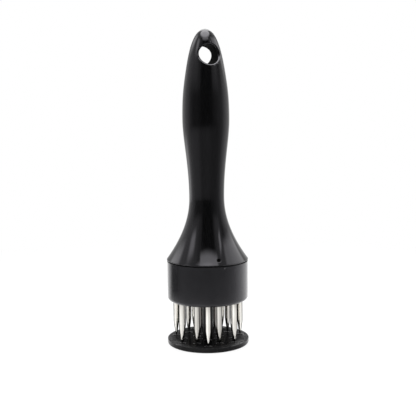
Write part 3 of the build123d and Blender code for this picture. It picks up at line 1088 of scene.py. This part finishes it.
# How much of the table's white shows in the blades: painted shade by bearing, in reflections only
TABLE_SHEEN = (
    (-180, 1.0), (-75, 0.9), (-45, 0.6), (-30, 0.74), (-18, 0.78), (-6, 0.7), (8, 0.54), (30, 0.5),
    (50, 0.6), (75, 0.9), (180, 1.0),
)
# Soft lights that stand out from the studio: azimuth and half width, elevation and half height,
# softness of the edges, rise of the elevation per degree of azimuth, radiance
PANELS = (
    (-69, 10, 37, 9, 6, 0.0, 1.7),
    (-120, 15, 31, 9, 6, 0.3, 1.6),
    (61, 4.5, 37, 7, 3.5, -0.9, 1.9),
    (104, 30, 32, 9, 5, -0.42, 1.45),
    (6, 37, 56.5, 4.5, 4, 0.0, 2.35),
    (180, 24, 43, 15, 6, 0.0, 2.6),
)
# Black cloth low behind the tool, which the guard mirrors: the same measures, and the share of
# the light that it takes
CLOTH = (180, 16, 16, 13, 4, 0.0, 0.9)
# The light overhead: the elevations between which each part of it comes to full, and its radiance
OVERHEAD = ((55, 61), 2.8)
ZENITH = ((58, 66), 5.6)


def turn_from(w, vector, azimuth):
    """How far a direction stands round from an azimuth, in radians."""
    side = w.vector("DOT_PRODUCT", vector, level_way(azimuth + pi / 2))
    front = w.vector("DOT_PRODUCT", vector, level_way(azimuth))
    return w.math("ARCTAN2", side, front)


def bearing_of(w, vector):
    """Azimuth of a direction from the camera's side, from 0 at -180 degrees to 1 at 180."""
    return w.math("MULTIPLY_ADD", turn_from(w, vector, 0), 1 / (2 * pi), 0.5)


def soft_within(w, value, half, soft):
    """One inside the half width, nothing outside it, with a soft edge, both in degrees."""
    return w.span(w.math("ABSOLUTE", value), radians(half - soft), radians(half + soft), 1.0, 0.0)


def panel_light(w, way, elevation, panel):
    azimuth, half_width, middle, half_height, soft, rise, radiance = panel
    turn = turn_from(w, way, radians(azimuth))
    above = w.math("SUBTRACT", elevation, radians(middle))
    above = w.math("SUBTRACT", above, w.product(turn, rise))
    across, along = soft_within(w, turn, half_width, soft), soft_within(w, above, half_height, soft)
    return w.product(across, along, radiance)


def light_world():
    """White behind the tool, darker towards the camera, with soft lights round and above."""
    world = bpy.data.worlds.new("studio")
    bpy.context.scene.world = world
    world.use_nodes = True
    w = Wires(world.node_tree)
    w.nodes.clear()
    way = w.nodes.new("ShaderNodeTexCoord").outputs["Generated"]
    elevation = w.math("ARCSINE", w.axis(way, "Z"))
    bearing = bearing_of(w, way)
    raised = w.span(elevation, *map(radians, RAISED_FROM))
    light = w.blend(raised, w.ramp(bearing, LEVEL_TONES), w.ramp(bearing, RAISED_TONES))
    for panel in PANELS:
        light = w.vector("ADD", light, panel_light(w, way, elevation, panel))
    left = w.math("SUBTRACT", 1.0, panel_light(w, way, elevation, CLOTH))
    light = w.vector("SCALE", light, None, None, left)
    for limits, radiance in (OVERHEAD, ZENITH):
        light = w.blend(w.span(elevation, *map(radians, limits)), light, (radiance,) * 3)
    lit = w.shader("ShaderNodeBackground", light)
    seen = w.shader("ShaderNodeBackground", (1, 1, 1))
    path = w.nodes.new("ShaderNodeLightPath")
    w.add("ShaderNodeOutputWorld", {"Surface": w.either(path.outputs["Is Camera Ray"], lit, seen)})


def add_floor():
    """White table with the tool's soft shadow. In reflections it glows with painted tones by bearing,
    which darken away from the tool.
    """
    mesh = bpy.data.meshes.new("floor")
    form = bmesh.new()
    bmesh.ops.create_circle(form, cap_ends=True, segments=96, radius=1.6)
    form.to_mesh(mesh)
    form.free()
    floor = add_object("floor", mesh)
    w = Look("floor")
    w.material.cycles.emission_sampling = "NONE"
    w.nodes.clear()
    place = w.place()
    reach = w.vector("LENGTH", place)
    bearing = bearing_of(w, place)
    beyond = w.blend(w.span(reach, 0.25, 0.5), w.ramp(bearing, NEAR_TABLE), w.ramp(bearing, FAR_TABLE))
    beyond = w.blend(w.span(reach, 0.6, 1.6), beyond, w.ramp(bearing, LEVEL_TONES))
    path = w.nodes.new("ShaderNodeLightPath").outputs
    shiny = w.math("ADD", path["Is Glossy Ray"], path["Is Transmission Ray"], clamp=True)
    paint = w.blend(shiny, (0.8, 0.8, 0.8), w.ramp(bearing, TABLE_SHEEN))
    white = w.shader("ShaderNodeEmission", (1, 1, 1))
    clean = w.product(path["Is Camera Ray"], w.span(reach, 0.05, 0.4, 0.8, 1.0))
    seen = w.either(clean, w.shader("ShaderNodeBsdfDiffuse", paint), white)
    mirrored = w.product(shiny, w.span(reach, 0.1, 0.17))
    surface = w.either(mirrored, seen, w.shader("ShaderNodeEmission", beyond))
    w.add("ShaderNodeOutputMaterial", {"Surface": surface})
    mesh.materials.append(w.material)


# ---- assembly
bpy.context.scene.view_settings.view_transform = "Standard"
add_camera()
light_world()
add_floor()

looks = {
    "handle_gloss_black": gloss_handle(),
    "collar_satin_black": satin_collar(),
    "guard_black": gloss_guard(),
    "blade_steel": ground_steel(),
    "block_black": plain_polymer("block_black_nylon", 0.016, 0.024, 0.55, 3000),
    "post_black": plain_polymer("post_black_acetal", 0.003, 0.005, 0.3, 1500, 1.25),
    "spring_steel": turned_steel("spring_wire", (0.55, 0.55, 0.56), 0.28, (900, 900, 5000)),
    "screw_steel": turned_steel("screw_stainless", (0.62, 0.61, 0.60), 0.26, 4000),
    "washer_steel": turned_steel("washer_stainless", (0.6, 0.59, 0.58), 0.32, (2500, 600, 2500)),
}
slots = {part["node"]: part["material_slot"] for part in frame["record"]["subparts"]}
behaviour = frame["record"]["behaviour"]
body_of = {node: body for body, nodes in behaviour["bodies"].items() for node in nodes}


def stand_in(name, form, node, crease=32.0, also=()):
    """Makes a form the piece that stands for a CAD node, in its slot's material and any others."""
    body, slot = body_of[node], slots[node]
    bmesh.ops.recalc_face_normals(form, faces=form.faces)
    mesh = bpy.data.meshes.new(name)
    form.to_mesh(mesh)
    form.free()
    mesh.transform(Matrix.Scale(MM, 4))
    mesh.shade_smooth()
    mesh.set_sharp_from_angle(angle=radians(crease))
    for material in (looks[slot], *also):
        mesh.materials.append(material)
    piece = add_object(name, mesh)
    even = piece.modifiers.new("even", "WEIGHTED_NORMAL")
    even.keep_sharp = True
    even.weight = 80
    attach(piece, body)
    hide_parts(node)
    return piece


stand_in("handle_grip", handle_form(), "handle", 40.0, (moulded_bore(),))
stand_in("handle_ribs", rib_form(), "handle")
stand_in("collar_cup", collar_form(), "collar", 40.0)
stand_in("guard_plate", disc_form(), "guard_disc", 40.0, (painted_rim_highlight(),))
for blade_node, blade_center in blade_places():
    painted_shade = RING_SHADE[blade_node.split("_")[0]]
    stand_in(blade_node + "_strip", blade_form(blade_center, painted_shade), blade_node)
spring = stand_in("return_coil", spring_form(), "return_spring", 60.0)
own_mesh(spring)

for node in ("blade_block", "guide_post", "guard_screw", "stop_washer", "stop_screw"):
    mesh = frame["nodes"][node].data
    mesh.materials.clear()
    mesh.materials.append(looks[slots[node]])
